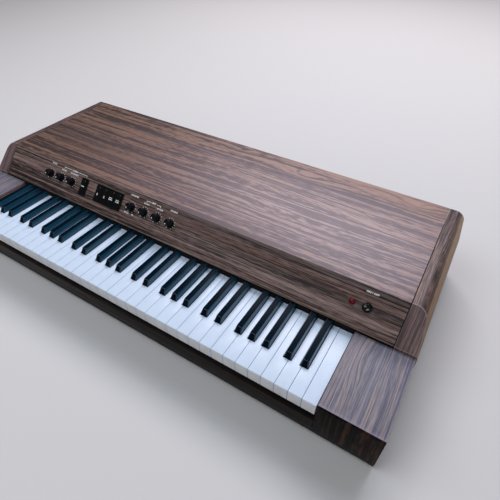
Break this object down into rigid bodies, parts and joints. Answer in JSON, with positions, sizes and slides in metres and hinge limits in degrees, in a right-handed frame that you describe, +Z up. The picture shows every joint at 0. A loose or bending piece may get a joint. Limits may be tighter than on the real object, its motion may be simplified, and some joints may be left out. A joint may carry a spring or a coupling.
{
  "type": "electric piano",
  "caption": "Portable electric piano in a wood-grained cabinet, with hinged keys under a sloped panel of knobs, rocker switches, a power button and a lamp.",
  "frame": {"origin": "on the floor under the middle of the cabinet, between the four feet", "axes": "+X to the player's right along the keyboard, +Y from the player to the back, +Z up"},
  "size_m": [1.0554, 0.498, 0.155],
  "materials": {
    "walnut_case": "printed walnut vinyl on board, satin",
    "walnut_panel": "darker printed walnut vinyl on board, satin",
    "black_board": "black painted board, matte",
    "rail_wood": "bare beech, matte",
    "white_key_plastic": "moulded white key plastic, gloss",
    "black_key_plastic": "moulded black key plastic, gloss",
    "black_plastic": "moulded black plastic, satin",
    "button_plastic": "moulded black plastic, gloss",
    "lamp_lens": "dark red moulded plastic, gloss",
    "foot_rubber": "black moulded rubber, matte",
    "steel": "bare steel, satin",
    "circuit_board": "green circuit board, satin",
    "felt": "black woven felt, matte"
  },
  "bodies": {
    "cabinet": {"bottom_board": "black_board", "top_cover": "walnut_case", "rear_panel": "black_board", "right_end_cap": "walnut_case", "left_end_cap": "walnut_case", "right_cheek_block": "walnut_case", "left_cheek_block": "walnut_case", "key_slip": "walnut_panel", "jack_plate": "steel", "power_inlet": "black_plastic", "main_circuit_board": "circuit_board", "transformer": "steel", "front_left_foot": "foot_rubber", "front_right_foot": "foot_rubber", "rear_left_foot": "foot_rubber", "rear_right_foot": "foot_rubber", "pivot_rail": "rail_wood", "pivot_shaft": "steel", "front_rail": "rail_wood", "nameboard_felt": "felt", "contact_board": "circuit_board", "control_panel": "walnut_panel", "control_board": "circuit_board", "tremolo_rocker_bezel": "black_plastic", "tone_rocker_bezel": "black_plastic", "power_button_collar": "black_plastic", "power_lamp_lens": "lamp_lens"},
    "white_keys_f1_e2": {"white_keys_f1_e2": "white_key_plastic"},
    "black_keys_f1_e2": {"black_keys_f1_e2": "black_key_plastic"},
    "white_keys_f2_e3": {"white_keys_f2_e3": "white_key_plastic"},
    "black_keys_f2_e3": {"black_keys_f2_e3": "black_key_plastic"},
    "white_keys_f3_e4": {"white_keys_f3_e4": "white_key_plastic"},
    "black_keys_f3_e4": {"black_keys_f3_e4": "black_key_plastic"},
    "white_keys_f4_f5": {"white_keys_f4_f5": "white_key_plastic"},
    "black_keys_f4_e5": {"black_keys_f4_e5": "black_key_plastic"},
    "key_f_sharp5": {"key_f_sharp5": "black_key_plastic"},
    "key_g5": {"key_g5": "white_key_plastic"},
    "key_g_sharp5": {"key_g_sharp5": "black_key_plastic"},
    "key_a5": {"key_a5": "white_key_plastic"},
    "key_a_sharp5": {"key_a_sharp5": "black_key_plastic"},
    "key_b5": {"key_b5": "white_key_plastic"},
    "key_c6": {"key_c6": "white_key_plastic"},
    "key_c_sharp6": {"key_c_sharp6": "black_key_plastic"},
    "key_d6": {"key_d6": "white_key_plastic"},
    "key_d_sharp6": {"key_d_sharp6": "black_key_plastic"},
    "key_e6": {"key_e6": "white_key_plastic"},
    "key_f6": {"key_f6": "white_key_plastic"},
    "decay_knob": {"decay_knob": "black_plastic"},
    "tremolo_speed_knob": {"tremolo_speed_knob": "black_plastic"},
    "tremolo_depth_knob": {"tremolo_depth_knob": "black_plastic"},
    "pitch_knob": {"pitch_knob": "black_plastic"},
    "bass_knob": {"bass_knob": "black_plastic"},
    "treble_knob": {"treble_knob": "black_plastic"},
    "volume_knob": {"volume_knob": "black_plastic"},
    "tremolo_rocker": {"tremolo_rocker": "black_plastic"},
    "tone_rocker_1": {"tone_rocker_1": "black_plastic"},
    "tone_rocker_2": {"tone_rocker_2": "black_plastic"},
    "tone_rocker_3": {"tone_rocker_3": "black_plastic"},
    "tone_rocker_4": {"tone_rocker_4": "black_plastic"},
    "power_button": {"power_button": "button_plastic"}
  },
  "joints": [
    {"name": "white_keys_f1_e2_press", "type": "hinge", "parent": "cabinet", "child": "white_keys_f1_e2", "pos_m": [0, -0.031, 0.0765], "axis": [1, 0, 0], "range_deg": [0, 2.7], "stiffness_Nm_per_rad": 4.9, "springref_deg": -15.55},
    {"name": "black_keys_f1_e2_press", "type": "hinge", "parent": "cabinet", "child": "black_keys_f1_e2", "pos_m": [0, -0.031, 0.0765], "axis": [1, 0, 0], "range_deg": [0, 2.7], "stiffness_Nm_per_rad": 3.5, "springref_deg": -12.2},
    {"name": "white_keys_f2_e3_press", "type": "hinge", "parent": "cabinet", "child": "white_keys_f2_e3", "pos_m": [0, -0.031, 0.0765], "axis": [1, 0, 0], "range_deg": [0, 2.7], "stiffness_Nm_per_rad": 4.9, "springref_deg": -15.55},
    {"name": "black_keys_f2_e3_press", "type": "hinge", "parent": "cabinet", "child": "black_keys_f2_e3", "pos_m": [0, -0.031, 0.0765], "axis": [1, 0, 0], "range_deg": [0, 2.7], "stiffness_Nm_per_rad": 3.5, "springref_deg": -12.2},
    {"name": "white_keys_f3_e4_press", "type": "hinge", "parent": "cabinet", "child": "white_keys_f3_e4", "pos_m": [0, -0.031, 0.0765], "axis": [1, 0, 0], "range_deg": [0, 2.7], "stiffness_Nm_per_rad": 4.9, "springref_deg": -15.55},
    {"name": "black_keys_f3_e4_press", "type": "hinge", "parent": "cabinet", "child": "black_keys_f3_e4", "pos_m": [0, -0.031, 0.0765], "axis": [1, 0, 0], "range_deg": [0, 2.7], "stiffness_Nm_per_rad": 3.5, "springref_deg": -12.2},
    {"name": "white_keys_f4_f5_press", "type": "hinge", "parent": "cabinet", "child": "white_keys_f4_f5", "pos_m": [0, -0.031, 0.0765], "axis": [1, 0, 0], "range_deg": [0, 2.7], "stiffness_Nm_per_rad": 5.6, "springref_deg": -15.55},
    {"name": "black_keys_f4_e5_press", "type": "hinge", "parent": "cabinet", "child": "black_keys_f4_e5", "pos_m": [0, -0.031, 0.0765], "axis": [1, 0, 0], "range_deg": [0, 2.7], "stiffness_Nm_per_rad": 3.5, "springref_deg": -12.2},
    {"name": "key_f_sharp5_press", "type": "hinge", "parent": "cabinet", "child": "key_f_sharp5", "pos_m": [0, -0.031, 0.0765], "axis": [1, 0, 0], "range_deg": [0, 2.7], "stiffness_Nm_per_rad": 0.7, "springref_deg": -12.19},
    {"name": "key_g5_press", "type": "hinge", "parent": "cabinet", "child": "key_g5", "pos_m": [0, -0.031, 0.0765], "axis": [1, 0, 0], "range_deg": [0, 2.7], "stiffness_Nm_per_rad": 0.7, "springref_deg": -15.38},
    {"name": "key_g_sharp5_press", "type": "hinge", "parent": "cabinet", "child": "key_g_sharp5", "pos_m": [0, -0.031, 0.0765], "axis": [1, 0, 0], "range_deg": [0, 2.7], "stiffness_Nm_per_rad": 0.7, "springref_deg": -12.19},
    {"name": "key_a5_press", "type": "hinge", "parent": "cabinet", "child": "key_a5", "pos_m": [0, -0.031, 0.0765], "axis": [1, 0, 0], "range_deg": [0, 2.7], "stiffness_Nm_per_rad": 0.7, "springref_deg": -15.38},
    {"name": "key_a_sharp5_press", "type": "hinge", "parent": "cabinet", "child": "key_a_sharp5", "pos_m": [0, -0.031, 0.0765], "axis": [1, 0, 0], "range_deg": [0, 2.7], "stiffness_Nm_per_rad": 0.7, "springref_deg": -12.19},
    {"name": "key_b5_press", "type": "hinge", "parent": "cabinet", "child": "key_b5", "pos_m": [0, -0.031, 0.0765], "axis": [1, 0, 0], "range_deg": [0, 2.7], "stiffness_Nm_per_rad": 0.7, "springref_deg": -15.5},
    {"name": "key_c6_press", "type": "hinge", "parent": "cabinet", "child": "key_c6", "pos_m": [0, -0.031, 0.0765], "axis": [1, 0, 0], "range_deg": [0, 2.7], "stiffness_Nm_per_rad": 0.7, "springref_deg": -15.53},
    {"name": "key_c_sharp6_press", "type": "hinge", "parent": "cabinet", "child": "key_c_sharp6", "pos_m": [0, -0.031, 0.0765], "axis": [1, 0, 0], "range_deg": [0, 2.7], "stiffness_Nm_per_rad": 0.7, "springref_deg": -12.19},
    {"name": "key_d6_press", "type": "hinge", "parent": "cabinet", "child": "key_d6", "pos_m": [0, -0.031, 0.0765], "axis": [1, 0, 0], "range_deg": [0, 2.7], "stiffness_Nm_per_rad": 0.7, "springref_deg": -15.73},
    {"name": "key_d_sharp6_press", "type": "hinge", "parent": "cabinet", "child": "key_d_sharp6", "pos_m": [0, -0.031, 0.0765], "axis": [1, 0, 0], "range_deg": [0, 2.7], "stiffness_Nm_per_rad": 0.7, "springref_deg": -12.19},
    {"name": "key_e6_press", "type": "hinge", "parent": "cabinet", "child": "key_e6", "pos_m": [0, -0.031, 0.0765], "axis": [1, 0, 0], "range_deg": [0, 2.7], "stiffness_Nm_per_rad": 0.7, "springref_deg": -15.53},
    {"name": "key_f6_press", "type": "hinge", "parent": "cabinet", "child": "key_f6", "pos_m": [0, -0.031, 0.0765], "axis": [1, 0, 0], "range_deg": [0, 2.7], "stiffness_Nm_per_rad": 0.7, "springref_deg": -16.82},
    {"name": "decay_knob_turn", "type": "hinge", "parent": "cabinet", "child": "decay_knob", "pos_m": [-0.346, -0.06794, 0.12957], "axis": [0, 0.7367, -0.6762], "range_deg": [-35, 265]},
    {"name": "tremolo_speed_knob_turn", "type": "hinge", "parent": "cabinet", "child": "tremolo_speed_knob", "pos_m": [-0.311, -0.06794, 0.12957], "axis": [0, 0.7367, -0.6762], "range_deg": [-35, 265]},
    {"name": "tremolo_depth_knob_turn", "type": "hinge", "parent": "cabinet", "child": "tremolo_depth_knob", "pos_m": [-0.276, -0.06794, 0.12957], "axis": [0, 0.7367, -0.6762], "range_deg": [-35, 265]},
    {"name": "pitch_knob_turn", "type": "hinge", "parent": "cabinet", "child": "pitch_knob", "pos_m": [-0.093, -0.06794, 0.12957], "axis": [0, 0.7367, -0.6762], "range_deg": [-35, 265]},
    {"name": "bass_knob_turn", "type": "hinge", "parent": "cabinet", "child": "bass_knob", "pos_m": [-0.058, -0.06794, 0.12957], "axis": [0, 0.7367, -0.6762], "range_deg": [-35, 265]},
    {"name": "treble_knob_turn", "type": "hinge", "parent": "cabinet", "child": "treble_knob", "pos_m": [-0.023, -0.06794, 0.12957], "axis": [0, 0.7367, -0.6762], "range_deg": [-35, 265]},
    {"name": "volume_knob_turn", "type": "hinge", "parent": "cabinet", "child": "volume_knob", "pos_m": [0.012, -0.06794, 0.12957], "axis": [0, 0.7367, -0.6762], "range_deg": [-35, 265]},
    {"name": "tremolo_rocker_tilt", "type": "hinge", "parent": "cabinet", "child": "tremolo_rocker", "pos_m": [-0.237, -0.06757, 0.12924], "axis": [-1, 0, 0], "range_deg": [0, 14]},
    {"name": "tone_rocker_1_tilt", "type": "hinge", "parent": "cabinet", "child": "tone_rocker_1", "pos_m": [-0.18745, -0.06757, 0.12924], "axis": [-1, 0, 0], "range_deg": [0, 14]},
    {"name": "tone_rocker_2_tilt", "type": "hinge", "parent": "cabinet", "child": "tone_rocker_2", "pos_m": [-0.16915, -0.06757, 0.12924], "axis": [-1, 0, 0], "range_deg": [0, 14]},
    {"name": "tone_rocker_3_tilt", "type": "hinge", "parent": "cabinet", "child": "tone_rocker_3", "pos_m": [-0.15085, -0.06757, 0.12924], "axis": [-1, 0, 0], "range_deg": [0, 14]},
    {"name": "tone_rocker_4_tilt", "type": "hinge", "parent": "cabinet", "child": "tone_rocker_4", "pos_m": [-0.13255, -0.06757, 0.12924], "axis": [-1, 0, 0], "range_deg": [0, 14]},
    {"name": "power_button_press", "type": "slide", "parent": "cabinet", "child": "power_button", "axis": [0, 0.7367, -0.6762], "range_m": [0, 0.003], "stiffness_N_per_m": 300, "springref_m": -0.004}
  ]
}
